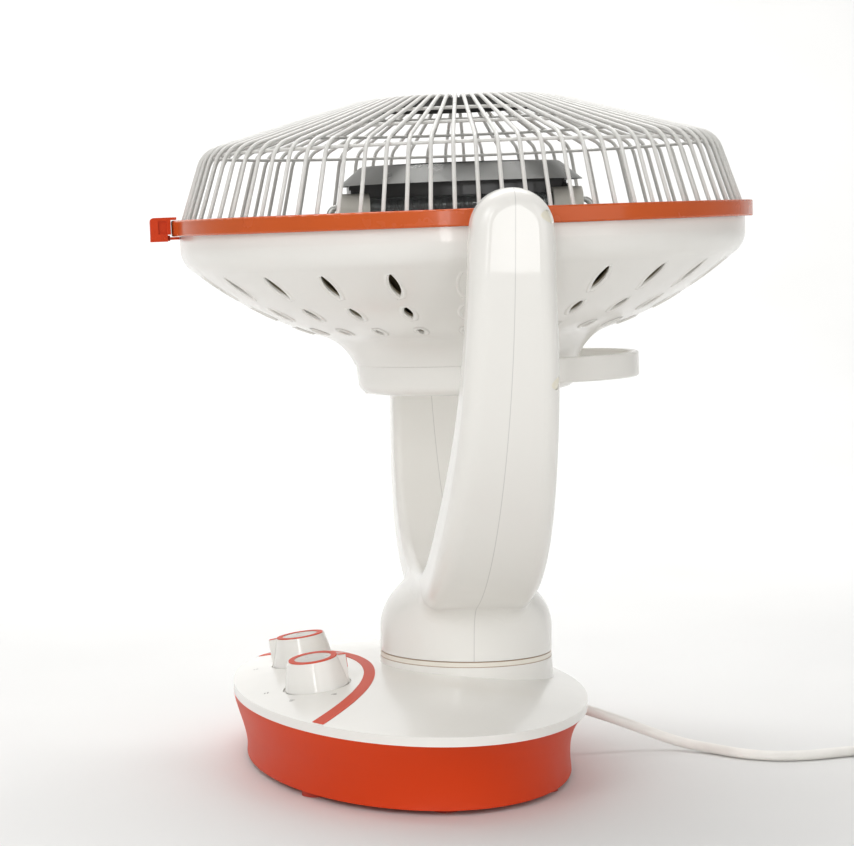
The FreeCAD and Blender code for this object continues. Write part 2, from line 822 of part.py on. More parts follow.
def hub():
    """The round foot of the yoke, flaring out into the arms above its shoulder."""
    bottom = size("hub_bottom")
    rings = []
    for step in range(HUB_STEPS + 1):
        level = bottom + (HUB_TOP - bottom) * step / HUB_STEPS
        rise = max(0.0, (level - HUB_SHOULDER) / (HUB_TOP - HUB_SHOULDER))
        across = 52.45 + 23.55 * rise ** 2.6
        deep = 52.4 * math.sqrt(1 - 0.672 * rise ** 2.2)
        rings.append(Part.Wire([Part.Ellipse(Vector(0, 0, level), across, deep).toShape()]))
    return Part.makeLoft(rings, True, False)


def hub_room():
    """The hollow of the hub, open at the bottom."""
    radius = size("hub_radius") - yoke_wall
    floor = size("hub_bottom") - 1
    edges = [
        line((0, 0, floor), (radius, 0, floor)),
        line((radius, 0, floor), (radius, 0, 84)),
        arc((radius, 0, 84), (radius - 3.6, 0, 96), (radius - 15.0, 0, 106)),
        line((radius - 15.0, 0, 106), (0, 0, 106)),
        line((0, 0, 106), (0, 0, floor)),
    ]
    return revolved(Part.Face(Part.Wire(edges)))


# Screws in each arm's rear edge: distance out along the yoke and height.
ARM_SCREWS = [(side * reach, level) for side in SIDES for reach, level in ((200.0, 329.0), (188.5, 240.0))]
COUNTERBORE = 9.0


def yoke_outside():
    """The fork on its hub, with the crease under each arm rounded out."""
    solid = fork(0).fuse(hub())
    crease = []
    for edge in solid.Edges:
        middle = edge.valueAt((edge.FirstParameter + edge.LastParameter) / 2)
        if CREASE_LOW < middle.z < HUB_TOP + 1 and abs(middle.x) > CREASE_REACH:
            crease.append(edge)
    return solid.makeFillet(CREASE_RADIUS, crease)


def yoke_shells():
    outside = yoke_outside()
    inside = fork(yoke_wall).fuse(hub_room())
    posts = []
    bores = []
    for side in SIDES:
        posts.append(rod(Vector(side * 181, arm_y, pivot_z), Vector(side * 202.5, arm_y, pivot_z), 9.5))
        bores.append(rod(Vector(side * 179, arm_y, pivot_z), Vector(side * 198, arm_y, pivot_z),
                         size("pivot_radius") + size("running_gap")))
    for x, level in ARM_SCREWS:
        spot = Vector(x, arm_y, level)
        posts.append(rod(spot - Y_AXIS * 19, spot + Y_AXIS * 24, 5.0))
        bores.append(rod(spot + Y_AXIS * COUNTERBORE, spot + Y_AXIS * 40, 3.6))
        bores.append(rod(spot - Y_AXIS * 14, spot + Y_AXIS * 40, 1.7))
    posts = [post.common(outside) for post in posts]
    whole = outside.cut(inside).fuse(posts).cut(Part.makeCompound(bores))
    front_room = Part.makeBox(600, 300, 600, Vector(-300, arm_y - 300, 0))
    rear_room = Part.makeBox(600, 300, 600, Vector(-300, arm_y, 0))
    return whole.common(front_room), whole.common(rear_room)


front_shell, rear_shell = yoke_shells()
shaped("yoke_front_shell", front_shell, yoke_frame)
shaped("yoke_rear_shell", rear_shell, yoke_frame)


def arm_screw(x, level):
    along = Rotation(Z_AXIS, Y_AXIS * -1)
    head = cylinder("arm_screw_head", "3.1", "2.4",
                    Placement(Vector(x, arm_y + COUNTERBORE + 2.4, level), along))
    shank = cylinder("arm_screw_shank", "1.45", "20",
                     Placement(Vector(x, arm_y + COUNTERBORE + 1, level), along))
    return fused("arm_screw", [head, shank])


arm_screws = [arm_screw(x, level) for x, level in ARM_SCREWS]
finished("yoke_screws", grouped("arm_screw_set", arm_screws), yoke_frame)

turned("swivel_spindle", [
    ("7", "46"),
    ("spindle_radius", "46"),
    ("spindle_radius", "53.4"),
    ("spindle_radius - 1.4", "53.4"),
    ("spindle_radius - 1.4", "55"),
    ("spindle_radius", "55"),
    ("spindle_radius", "hub_bottom + 2"),
    ("spindle_plate_radius", "hub_bottom + 2"),
    ("spindle_plate_radius", "hub_bottom + 5"),
    ("7", "hub_bottom + 5"),
], yoke_frame)

turned("spindle_washer", [
    ("spindle_radius + running_gap", "55.3"),
    ("spindle_radius + 6", "55.3"),
    ("spindle_radius + 6", "57.2"),
    ("spindle_radius + running_gap", "57.2"),
], yoke_frame)

turned("spindle_clip", [
    ("spindle_radius - 1.35", "53.5"),
    ("spindle_radius + 4", "53.5"),
    ("spindle_radius + 4", "54.9"),
    ("spindle_radius - 1.35", "54.9"),
], yoke_frame)

washers = []
for side in SIDES:
    place = Placement(Vector(side * 177.7, arm_y, pivot_z), Rotation(Z_AXIS, X_AXIS * side))
    washers.append(cut("pivot_washer", cylinder("washer_outside", "9.5", "1.8", place),
                       cylinder("washer_bore", "pivot_radius + running_gap", "2.2", place)))
finished("pivot_washers", grouped("pivot_washer_pair", washers), yoke_frame)


# Head: shell, rear cap, handle and rim

pivot_level = -size("ring_above_pivot")
shell_wall = size("shell_wall")
FLANGE_TOP = -1.4
FLANGE_REACH = 173.0


def bowl_level(radius):
    """Height of the shell's outside on its long bowl-shaped stretch."""
    return -67.6 + 0.302 * (radius - 88.0) + 0.00332 * (radius - 88.0) ** 2


# Points of the shell's outside profile: radius and level.
SHELL_TURN = (168.6, -19.8)
SHELL_ELBOW = (74.4, -75.9)


def shell_solid(inset):
    """The solid inside the shell's profile, drawn in by inset and longer at both open ends."""

    def spot(radius, level, out_angle):
        """A profile point moved in square to the face, whose normal dips by out_angle."""
        dip = math.radians(out_angle)
        return (radius - inset * math.cos(dip), 0, level + inset * math.sin(dip))

    def bowl_spot(radius):
        slope = 0.302 + 0.00664 * (radius - 88.0)
        return spot(radius, bowl_level(radius), math.degrees(math.atan2(1, slope)))

    longer = 1.0 if inset else 0.0
    belt = spot(size("shell_radius"), -12.5, 0)
    shoulder = bowl_spot(162.5)
    knee = bowl_spot(88.0)
    neck = spot(size("neck_radius"), size("neck_level"), 0)
    top = FLANGE_TOP + longer
    foot = size("neck_level") - longer
    edges = [
        line((0, 0, top), (belt[0], 0, top)),
        line((belt[0], 0, top), belt),
        arc(belt, spot(*SHELL_TURN, 25), shoulder),
        arc(shoulder, bowl_spot(125.0), knee),
        arc(knee, spot(*SHELL_ELBOW, 47), neck),
    ]
    if inset:
        edges.append(line(neck, (neck[0], 0, foot)))
    edges.append(line((neck[0], 0, foot), (0, 0, foot)))
    edges.append(line((0, 0, foot), (0, 0, top)))
    return revolved(Part.Face(Part.Wire(edges)))


# Vent rows: radius, length and width of each petal-shaped slot.
VENTS = ((150.0, 21.0, 5.6), (124.5, 15.0, 4.6), (100.0, 9.5, 3.2))
BLIND_ROWS = (0, 11, 12, 23)


def petals():
    slots = []
    open_rows = [row for row in range(int(size("vent_rows"))) if row not in BLIND_ROWS]
    for row in open_rows:
        for radius, length, width in VENTS:
            tips = [(radius + side * length * 0.46, 0, -95) for side in SIDES]
            bows = [arc(tips[0], (radius, side * width / 2, -95), tips[1]) for side in SIDES]
            slot = Part.Face(Part.Wire(bows)).extrude(Vector(0, 0, 85))
            slot.rotate(ORIGIN, Z_AXIS, (row + 0.5) * 360 / size("vent_rows"))
            slots.append(slot)
    return Part.makeCompound(slots)


def head_shell():
    shell = shell_solid(0).cut(shell_solid(shell_wall))
    flange = Part.makeCylinder(FLANGE_REACH, 2.0, Vector(0, 0, FLANGE_TOP - 2))
    flange = flange.cut(Part.makeCylinder(size("shell_radius") - 0.5, 2.0, Vector(0, 0, FLANGE_TOP - 2)))
    ledge = Part.makeCylinder(size("neck_radius") - 0.5, 2.4, Vector(0, 0, size("neck_level")))
    ledge = ledge.cut(Part.makeCylinder(50.0, 2.4, Vector(0, 0, size("neck_level"))))
    bosses = []
    bores = []
    for side in SIDES:
        bosses.append(rod(Vector(side * 165.6, 0, pivot_level), Vector(side * 177.5, 0, pivot_level), 9.5))
        bores.append(rod(Vector(side * 157, 0, pivot_level), Vector(side * 178, 0, pivot_level),
                         size("pivot_radius") + 0.02))
    for angle in CAP_SCREWS:
        spot = screw_spot(angle)
        bores.append(Part.makeCylinder(1.55, 4, Vector(spot.x, spot.y, size("neck_level") - 1)))
    whole = shell.fuse([flange, ledge] + bosses).cut(petals())
    return whole.cut(Part.makeCompound(bores))


CAP_SCREWS = (30.0, 150.0, 270.0)
SCREW_RING = 57.0


def screw_spot(angle):
    return Vector(SCREW_RING * math.cos(math.radians(angle)), SCREW_RING * math.sin(math.radians(angle)), 0)


shaped("head_shell", head_shell(), head_frame)


def rear_cap():
    """A shallow cup with a rounded foot, drilled for its screws."""
    foot = size("cap_level")
    rim = size("neck_level") - 0.1
    cap_wall = size("cap_wall")
    radius = size("cap_radius")
    curl = 7.0
    bend = curl * (1 - math.sqrt(0.5))
    foot_radius = size("cap_foot_radius")
    low = (foot_radius - curl, 0, foot)
    high = (foot_radius, 0, foot + curl)
    edges = [
        line((0, 0, foot), low),
        arc(low, (foot_radius - bend, 0, foot + bend), high),
        line(high, (radius, 0, rim)),
        line((radius, 0, rim), (0, 0, rim)),
        line((0, 0, rim), (0, 0, foot)),
    ]
    cup = revolved(Part.Face(Part.Wire(edges)))
    room = Part.makeCone(foot_radius - 2 * cap_wall, radius - cap_wall, rim - foot - cap_wall,
                         Vector(0, 0, foot + cap_wall))
    spots = [screw_spot(angle) + Z_AXIS * foot for angle in CAP_SCREWS]
    bosses = [Part.makeCylinder(5.5, 4.6, spot) for spot in spots]
    holes = [Part.makeCylinder(1.55, 6, spot - Z_AXIS) for spot in spots]
    sinks = [Part.makeCylinder(3.3, 3.3, spot - Z_AXIS) for spot in spots]
    return cup.cut(room).fuse(bosses).cut(Part.makeCompound(holes + sinks))


shaped("rear_cap", rear_cap(), head_frame)


def cap_screw(angle):
    spot = screw_spot(angle)
    head = cylinder("cap_screw_head", "3", "2", move(spot.x, spot.y, size("cap_level") + 0.2))
    shank = cylinder("cap_screw_shank", "1.5", "19.5", move(spot.x, spot.y, size("cap_level") + 1))
    return fused("cap_screw", [head, shank])


cap_screws = [cap_screw(angle) for angle in CAP_SCREWS]
finished("rear_cap_screws", grouped("cap_screw_set", cap_screws), head_frame)


def carry_handle():
    outer = size("handle_radius")
    inner = outer - size("handle_wall")
    centre = size("handle_centre")
    level = size("handle_level")
    band = Part.makeCylinder(outer, size("handle_band"), Vector(0, centre, level), Z_AXIS, 180)
    band = band.fuse(Part.makeBox(2 * outer, 40, size("handle_band"), Vector(-outer, centre - 40, level)))
    room = Part.makeCylinder(inner, 60, Vector(0, centre, level - 20))
    room = room.fuse(Part.makeBox(2 * inner, 60, 60, Vector(-inner, centre - 60, level - 20)))
    loop = band.cut(room).cut(Part.makeCylinder(size("cap_radius") + 0.1, 80, Vector(0, 0, level - 20)))
    neck_room = Part.makeCylinder(size("neck_radius") + 2.6, 20, Vector(0, 0, size("neck_level") - 0.3))
    loop = loop.cut(neck_room)
    rims = [edge for edge in loop.Edges if abs(edge.CenterOfMass.y - centre) > 12 and edge.Length > 60]
    return loop.makeFillet(1.4, rims)


shaped("carry_handle", carry_handle(), head_frame)

turned("rim_ring", [
    ("shell_radius + 0.4", "-ring_half_height"),
    ("ring_radius", "-ring_half_height"),
    ("ring_radius", "ring_half_height"),
    ("shell_radius + 0.2", "ring_half_height"),
    ("shell_radius + 0.2", "ring_half_height - ring_sheet"),
    ("ring_radius - ring_sheet", "ring_half_height - ring_sheet"),
    ("ring_radius - ring_sheet", "ring_sheet - ring_half_height"),
    ("shell_radius + 0.4", "ring_sheet - ring_half_height"),
], head_frame, rounded=[
    ("ring_radius", "ring_half_height", 1.0),
    ("ring_radius", "-ring_half_height", 1.0),
])

pivot_pair = [cylinder("pivot_pin", "pivot_radius", "34",
                       Placement(Vector(side * 163.5, 0, pivot_level), Rotation(Z_AXIS, X_AXIS * side)))
              for side in SIDES]
finished("pivot_pins", grouped("pivot_pin_pair", pivot_pair), head_frame)


# Guard: bent radial wires on inner hoops, closed by a disc in the middle

WIRE_FOOT = Vector(169.2, 0, 0.0)
WIRE_BEND = Vector(154.2, 0, 44.6)
WIRE_CREST = Vector(60.0, 0, 71.5)
WIRE_END = Vector(40.0, 0, 71.5)
BEND_RADIUS = 16.0
CREST_RADIUS = 40.0
HOOP_GAP = 0.05


def guard_wires():
    path = rounded_path([WIRE_FOOT, WIRE_BEND, WIRE_CREST, WIRE_END], [BEND_RADIUS, CREST_RADIUS])
    wire = tube_along(path, size("guard_wire_radius"))
    wires = []
    count = int(size("guard_wires"))
    for index in range(count):
        turned_wire = wire.copy()
        turned_wire.rotate(ORIGIN, Z_AXIS, index * 360 / count)
        wires.append(turned_wire)
    return Part.makeCompound(wires)


def guard_hoops():
    under = size("guard_wire_radius") + size("guard_hoop_radius") + HOOP_GAP
    steep = (WIRE_FOOT - WIRE_BEND).normalize()
    shallow = (WIRE_CREST - WIRE_BEND).normalize()
    inward = (steep + shallow).normalize()
    half = steep.getAngle(shallow) / 2
    nest = WIRE_BEND + inward * (BEND_RADIUS / math.sin(half) - BEND_RADIUS + under)
    below = Vector(shallow.z, 0, -shallow.x)
    spots = [nest]
    for radius in (114.0, 82.0):
        along = (WIRE_BEND.x - radius) / -shallow.x
        spots.append(WIRE_BEND + shallow * along - below * under)
    spots.append(WIRE_FOOT + Vector(-under - 0.4, 0, 0.9))
    return Part.makeCompound([
        Part.makeTorus(spot.x, size("guard_hoop_radius"), Vector(0, 0, spot.z)) for spot in spots])


shaped("guard_wires", guard_wires(), head_frame)
shaped("guard_hoops", guard_hoops(), head_frame)

turned("guard_disc", [
    ("0", "guard_disc_top - disc_sheet"),
    ("guard_disc_radius - disc_sheet", "guard_disc_top - disc_sheet"),
    ("guard_disc_radius - disc_sheet", "guard_disc_top - guard_disc_thickness"),
    ("guard_disc_radius", "guard_disc_top - guard_disc_thickness"),
    ("guard_disc_radius", "guard_disc_top"),
    ("0", "guard_disc_top"),
], head_frame)


# Latch: a clip on a lug at the front of the rim

LATCH_PIN = Vector(0, -size("ring_radius") - 4.4, -5.6)
latch_half = size("latch_width") / 2


def latch_lug():
    """The plate under the rim that carries the clip's pin between two ears."""
    plate = Part.makeBox(size("latch_width") - 6, 5.7, 1.6,
                         Vector(3 - latch_half, -size("ring_radius") - 1.2, -6.6))
    ear = Part.makeBox(size("latch_width") - 12, 5.2, 3.2,
                       Vector(6 - latch_half, -size("ring_radius") - 6.2, -7.2))
    lug = plate.fuse(ear)
    bore = rod(LATCH_PIN - X_AXIS * 20, LATCH_PIN + X_AXIS * 20, size("latch_pin_radius") + 0.02)
    return lug.cut(bore)


def guard_latch():
    """The clip: a thick outer block, two cheeks on the pin and a jaw over the rim."""
    reach = size("latch_reach")
    rim = size("ring_radius")
    block = Part.makeBox(size("latch_width"), reach - rim - 8.2, 13.4, Vector(-latch_half, -reach, -6.9))
    jaw = Part.makeBox(size("latch_width"), reach - rim + 3.0, 1.5, Vector(-latch_half, -reach, 5.2))
    cheeks = [Part.makeBox(5.4, reach - rim - 2.4, 12.9, Vector(x, -reach, -7.6))
              for x in (-latch_half, latch_half - 5.4)]
    pockets = [Part.makeBox(1.6, 5.2, 7.6, Vector(x, -reach + 4.6, -3.0))
               for x in (-latch_half, latch_half - 1.6)]
    webs = [Part.makeBox(5.4, 2.4, 10.2, Vector(x, -rim - 2.9, -3.5))
            for x in (-latch_half, latch_half - 5.4)]
    clip = block.fuse([jaw] + cheeks + webs).cut(Part.makeCompound(pockets))
    bore = rod(LATCH_PIN - X_AXIS * 20, LATCH_PIN + X_AXIS * 20,
               size("latch_pin_radius") + size("running_gap"))
    clip = clip.cut(bore).removeSplitter()
    outer = [edge for edge in clip.Edges
             if edge.BoundBox.YMax < -reach + 0.01 and edge.BoundBox.XLength > 10]
    return clip.makeFillet(2.2, outer)


shaped("latch_lug", latch_lug(), head_frame)
shaped("guard_latch", guard_latch(), head_frame)
latch_pin = cylinder("latch_bar", "latch_pin_radius", "latch_width",
                     Placement(LATCH_PIN - X_AXIS * latch_half, Rotation(Z_AXIS, X_AXIS)))
finished("latch_pin", latch_pin, head_frame)


# Heating parts: dish, front shield, bracket, tube and leads

def reflector_dish():
    rim = (166.0, 0, -3.6)
    floor = size("dish_floor")
    foot = (size("dish_floor_radius"), 0, floor)
    outline = Part.Wire([
        arc(rim, (128.0, 0, -38.0), foot),
        line(foot, (0.5, 0, floor)),
    ])
    dish = revolved(outline.makeOffset2D(-size("dish_sheet"), 0, True, True, False))
    return dish


shaped("reflector_dish", reflector_dish(), head_frame)

turned("heat_shield", [
    ("0", "shield_top_level - dish_sheet"),
    ("shield_top_radius - 0.5", "shield_top_level - dish_sheet"),
    ("shield_rim_radius - 1", "shield_rim_level"),
    ("shield_rim_radius", "shield_rim_level"),
    ("shield_top_radius", "shield_top_level"),
    ("0", "shield_top_level"),
], head_frame, rounded=[("shield_top_radius", "shield_top_level", 4.0)])

bracket_reach = size("bracket_reach")
dish_face = size("dish_floor") + size("dish_sheet")
bracket_pieces = []
for side in SIDES:
    bracket_pieces.append(box("bracket_leg", "16", "1.6", "77.2",
                              move(-17, side * bracket_reach, dish_face + 0.1)))
    bracket_pieces.append(box("bracket_foot", "16", "14", "1.6",
                              move(-17, side * (bracket_reach - 6), dish_face + 0.1)))
    bracket_pieces.append(box("bracket_tab", "11", "1.6", "20",
                              move(-4.5, side * bracket_reach, size("tube_level") - 10)))
bracket_pieces.append(box("bracket_plate", "1.6", "2 * bracket_reach", "36",
                          move(-12.2, 0, size("tube_level") - 21)))
tube_room = cylinder("bracket_bore", "8.1", "200",
                     Placement(Vector(0, -100, size("tube_level")), Rotation(Z_AXIS, Y_AXIS)))
bracket_form = fused("bracket_form", bracket_pieces)
finished("shield_bracket", cut("bracket_drilled", bracket_form, tube_room), head_frame)

tube_start = Placement(Vector(0, -size("tube_length") / 2, size("tube_level")), Rotation(Z_AXIS, Y_AXIS))
finished("quartz_tube", cut("tube_wall_form",
                            cylinder("tube_outside", "tube_radius", "tube_length", tube_start),
                            cylinder("tube_inside", "tube_radius - tube_wall", "tube_length", tube_start)),
         head_frame)


def spiral_spot(share):
    """A point of the glowing spiral, which runs along the tube."""
    angle = 2 * math.pi * size("spiral_turns") * share
    span = size("tube_length") - 20
    return Vector(size("spiral_radius") * math.cos(angle), (share - 0.5) * span,
                  size("tube_level") + size("spiral_radius") * math.sin(angle))


spiral_path = wound_path(spiral_spot, int(size("spiral_turns")) * 4, 2 * size("spiral_wire"))
shaped("carbon_spiral", tube_along(spiral_path, size("spiral_wire")), head_frame)
print("spiral least gap", round(least_self_gap(spiral_path, 2 * size("spiral_wire")), 2))

holders = []
for side in SIDES:
    place = Placement(Vector(0, side * (bracket_reach - 10), size("tube_level")),
                      Rotation(Z_AXIS, Y_AXIS * side))
    barrel = cylinder("holder_barrel", "8", "18", place)
    socket = cylinder("holder_socket", "tube_radius + 0.02", "3.1", place)
    holders.append(cut("holder", barrel, socket))
finished("ceramic_holders", grouped("holder_pair", holders), head_frame)


def element_leads():
    """A stiff wire from each holder's end, bent down to the dish."""
    leads = []
    for side in SIDES:
        start = Vector(0, side * (bracket_reach + 8.1), size("tube_level"))
        corner = Vector(0, side * (bracket_reach + 14), size("tube_level"))
        end = Vector(0, side * (bracket_reach + 14), -48.0)
        leads.append(tube_along(rounded_path([start, corner, end], [5.0]), 1.9))
    return Part.makeCompound(leads)


shaped("element_leads", element_leads(), head_frame)
finished("terminal_block", box("terminal_case", "34", "18", "13",
                               move(0, -18, size("cap_level") + size("cap_wall") + 0.1)), head_frame)
finished("thermal_cutout", fused("cutout_form", [
    cylinder("cutout_can", "8.5", "8", move(26, 22, size("dish_floor") - 8.1)),
    box("cutout_tabs", "30", "5", "1.2", move(26, 22, size("dish_floor") - 9)),
]), head_frame)


# Write the sub-parts, once every object is sound

doc.recompute()
faulty = [thing.Name for thing in doc.Objects if "Invalid" in thing.State or "Error" in thing.State]
for thing in nodes:
    if thing.Shape.isNull() or not thing.Shape.isValid() or not thing.Shape.Solids:
        faulty.append(thing.Label)
if faulty:
    raise RuntimeError("not sound: " + ", ".join(faulty))

os.makedirs("parts", exist_ok=True)
for thing in nodes:
    thing.Shape.exportStep("parts/%s.step" % thing.Label)
print(len(nodes), "sub-parts written")
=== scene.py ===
# Carbon heater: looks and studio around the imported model.
import math

import bmesh
import bpy
from mathutils import Matrix, Vector


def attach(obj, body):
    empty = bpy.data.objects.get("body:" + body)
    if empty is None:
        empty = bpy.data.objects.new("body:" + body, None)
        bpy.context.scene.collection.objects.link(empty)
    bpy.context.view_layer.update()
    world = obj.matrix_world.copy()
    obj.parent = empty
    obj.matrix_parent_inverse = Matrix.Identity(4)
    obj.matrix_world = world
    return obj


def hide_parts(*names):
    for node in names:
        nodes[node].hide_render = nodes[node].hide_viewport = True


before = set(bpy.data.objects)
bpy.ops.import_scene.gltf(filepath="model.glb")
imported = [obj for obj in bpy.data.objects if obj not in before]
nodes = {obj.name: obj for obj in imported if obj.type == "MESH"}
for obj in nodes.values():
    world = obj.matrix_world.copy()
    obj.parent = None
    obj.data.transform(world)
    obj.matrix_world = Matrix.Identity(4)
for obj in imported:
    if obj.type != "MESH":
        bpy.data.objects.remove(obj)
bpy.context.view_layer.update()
scene = bpy.context.scene

MM = 0.001

# Frames of the moving groups at rest, as in the construction; lengths in millimetres
YOKE_SWING = -4.1
HEAD_TILT = 2.12
ARM_Y = -2.5
PIVOT_Z = 313.6
RING_ABOVE_PIVOT = 16.0
YOKE_FRAME = Matrix.Rotation(math.radians(YOKE_SWING), 4, "Z")
HEAD_FRAME = (
    YOKE_FRAME
    @ Matrix.Translation((0.0, ARM_Y * MM, PIVOT_Z * MM))
    @ Matrix.Rotation(math.radians(HEAD_TILT), 4, "X")
    @ Matrix.Translation((0.0, 0.0, RING_ABOVE_PIVOT * MM))
)

# Shapes of the solids that the scene's small pieces lie on
BOWL_FOOT = -67.6
BOWL_START = 88.0
BOWL_SLOPE = 0.302
BOWL_BEND = 0.00332
DOME_RIM = 46.5
DOME_RISE = 14.0
DOME_CENTRE_Y = -36.8
DOME_HALF_X = 172.5
DOME_HALF_Y = 104.35
SLIP_RING_LEVEL = 65.2


# Camera at the photograph's place
def add_camera():
    lens = bpy.data.cameras.new("camera")
    lens.sensor_fit = "HORIZONTAL"
    lens.sensor_width = 36.0
    lens.lens = 107.88
    lens.clip_end = 50.0
    camera = bpy.data.objects.new("camera", lens)
    camera.location = Vector((1519.87, -325.3, 318.07)) * MM
    heading = Vector((-0.9784, 0.1937, -0.0724))
    camera.rotation_euler = heading.to_track_quat("-Z", "Y").to_euler()
    scene.collection.objects.link(camera)
    scene.camera = camera


# Material building blocks
def linear(red, green, blue):
    """A colour given in screen values from 0 to 255, as the shader wants it."""
    shares = [channel / 255 for channel in (red, green, blue)]
    bright = [s / 12.92 if s <= 0.04045 else ((s + 0.055) / 1.055) ** 2.4 for s in shares]
    return (*bright, 1.0)


def scaled(colour, factor):
    return (*[min(1.0, channel * factor) for channel in colour[:3]], 1.0)


class Look:
    """One node material, with short calls for the nodes that it is made of."""

    def __init__(self, name):
        self.material = bpy.data.materials.new(name)
        self.material.use_nodes = True
        self.tree = self.material.node_tree
        self.shader = self.tree.nodes["Principled BSDF"]
        self.place = self.tree.nodes.new("ShaderNodeTexCoord").outputs["Object"]

    def feed(self, socket, source):
        if isinstance(source, bpy.types.NodeSocket):
            self.tree.links.new(source, socket)
        else:
            socket.default_value = source

    def set(self, **values):
        for name, source in values.items():
            self.feed(self.shader.inputs[name.replace("_", " ")], source)

    def mapped(self, matrix=None, stretch=(1, 1, 1)):
        """Object coordinates, seen from another frame and stretched."""
        node = self.tree.nodes.new("ShaderNodeMapping")
        node.vector_type = "POINT"
        inverse = (matrix or Matrix.Identity(4)).inverted()
        node.inputs["Location"].default_value = inverse.to_translation()
        node.inputs["Rotation"].default_value = inverse.to_euler()
        self.feed(node.inputs["Vector"], self.place)
        if tuple(stretch) == (1, 1, 1):
            return node.outputs["Vector"]
        wide = self.tree.nodes.new("ShaderNodeVectorMath")
        wide.operation = "MULTIPLY"
        self.feed(wide.inputs[0], node.outputs["Vector"])
        wide.inputs[1].default_value = stretch
        return wide.outputs["Vector"]

    def noise(self, scale, detail=3.0, place=None, rough=0.5):
        node = self.tree.nodes.new("ShaderNodeTexNoise")
        node.inputs["Scale"].default_value = scale
        node.inputs["Detail"].default_value = detail
        node.inputs["Roughness"].default_value = rough
        self.feed(node.inputs["Vector"], place or self.place)
        return node.outputs["Fac"]

    def cells(self, scale, place=None):
        node = self.tree.nodes.new("ShaderNodeTexVoronoi")
        node.inputs["Scale"].default_value = scale
        self.feed(node.inputs["Vector"], place or self.place)
        return node.outputs["Distance"]

    def rings(self, scale, place, distortion=0.4):
        node = self.tree.nodes.new("ShaderNodeTexWave")
        node.wave_type = "RINGS"
        node.rings_direction = "Z"
        node.inputs["Scale"].default_value = scale
        node.inputs["Distortion"].default_value = distortion
        self.feed(node.inputs["Vector"], place)
        return node.outputs["Fac"]

    def spread(self, source, low, high, start=0.3, end=0.7):
        """A value between low and high, as source goes from start to end."""
        node = self.tree.nodes.new("ShaderNodeMapRange")
        self.feed(node.inputs["Value"], source)
        node.inputs["From Min"].default_value = start
        node.inputs["From Max"].default_value = end
        node.inputs["To Min"].default_value = low
        node.inputs["To Max"].default_value = high
        return node.outputs["Result"]

    def blend(self, share, first, second):
        node = self.tree.nodes.new("ShaderNodeMix")
        node.data_type = "RGBA"
        self.feed(node.inputs[0], share)
        self.feed(node.inputs[6], first)
        self.feed(node.inputs[7], second)
        return node.outputs[2]

    def sum(self, kind, first, second=0.0):
        node = self.tree.nodes.new("ShaderNodeMath")
        node.operation = kind
        self.feed(node.inputs[0], first)
        self.feed(node.inputs[1], second)
        return node.outputs["Value"]

    def axis(self, place, name):
        node = self.tree.nodes.new("ShaderNodeSeparateXYZ")
        self.feed(node.inputs["Vector"], place)
        return node.outputs[name]

    def soft_edges(self, radius):
        node = self.tree.nodes.new("ShaderNodeBevel")
        node.samples = 4
        node.inputs["Radius"].default_value = radius
        return node.outputs["Normal"]

    def relief(self, height, depth, strength, normal=None):
        node = self.tree.nodes.new("ShaderNodeBump")
        node.inputs["Distance"].default_value = depth
        node.inputs["Strength"].default_value = strength
        self.feed(node.inputs["Height"], height)
        if normal is not None:
            self.feed(node.inputs["Normal"], normal)
        return node.outputs["Normal"]

    def edge_share(self, rounded, gain=6.0):
        """How far the softened surface leans from the true one: 1 on edges, 0 on faces."""
        true_normal = self.tree.nodes.new("ShaderNodeNewGeometry").outputs["Normal"]
        node = self.tree.nodes.new("ShaderNodeVectorMath")
        node.operation = "DOT_PRODUCT"
        self.feed(node.inputs[0], rounded)
        self.feed(node.inputs[1], true_normal)
        away = self.sum("SUBTRACT", 1.0, node.outputs["Value"])
        return self.sum("MINIMUM", self.sum("MULTIPLY", away, gain), 1.0)


def moulding(name, colour, rough=0.24, coat=0.35, mark=None, shine=0.5):
    """Glossy moulded plastic: cloudy colour, fine flecks, flow lines and an orange-peel skin.

    mark gives a share and a colour for a line or a face that differs from the rest.
    """
    look = Look(name)
    cloud = look.noise(9.0, 2.0)
    fleck = look.noise(520.0, 2.0)
    flow = look.noise(26.0, 2.0, look.mapped(None, (1.0, 1.0, 0.25)))
    shade = look.blend(look.spread(cloud, 0.0, 1.0, 0.0, 1.0), scaled(colour, 0.97), colour)
    shade = look.blend(look.spread(flow, 0.0, 0.08, 0.0, 1.0), shade, scaled(colour, 0.9))
    shade = look.blend(look.spread(fleck, 0.0, 0.05, 0.0, 1.0), shade, scaled(colour, 0.86))
    if mark is not None:
        share, other = mark(look)
        shade = look.blend(share, shade, other)
    look.set(Base_Color=shade)
    look.set(Roughness=look.spread(look.noise(34.0, 2.0), rough - 0.03, rough + 0.05, 0.0, 1.0))
    look.set(Coat_Weight=coat, Coat_Roughness=0.05, IOR=1.49, Specular_IOR_Level=shine)
    skin = look.relief(look.noise(420.0, 2.0), 0.01 * MM, 0.15)
    look.set(Normal=look.relief(look.noise(14.0, 1.0), 0.1 * MM, 0.05, skin))
    return look.material


def yoke_seam(look):
    """The fine joint line where the yoke's two halves meet."""
    across = look.axis(look.mapped(YOKE_FRAME), "Y")
    away = look.sum("ABSOLUTE", look.sum("SUBTRACT", across, ARM_Y * MM))
    return look.spread(away, 0.5, 0.0, 0.10 * MM, 0.34 * MM), scaled(WHITE, 0.5)


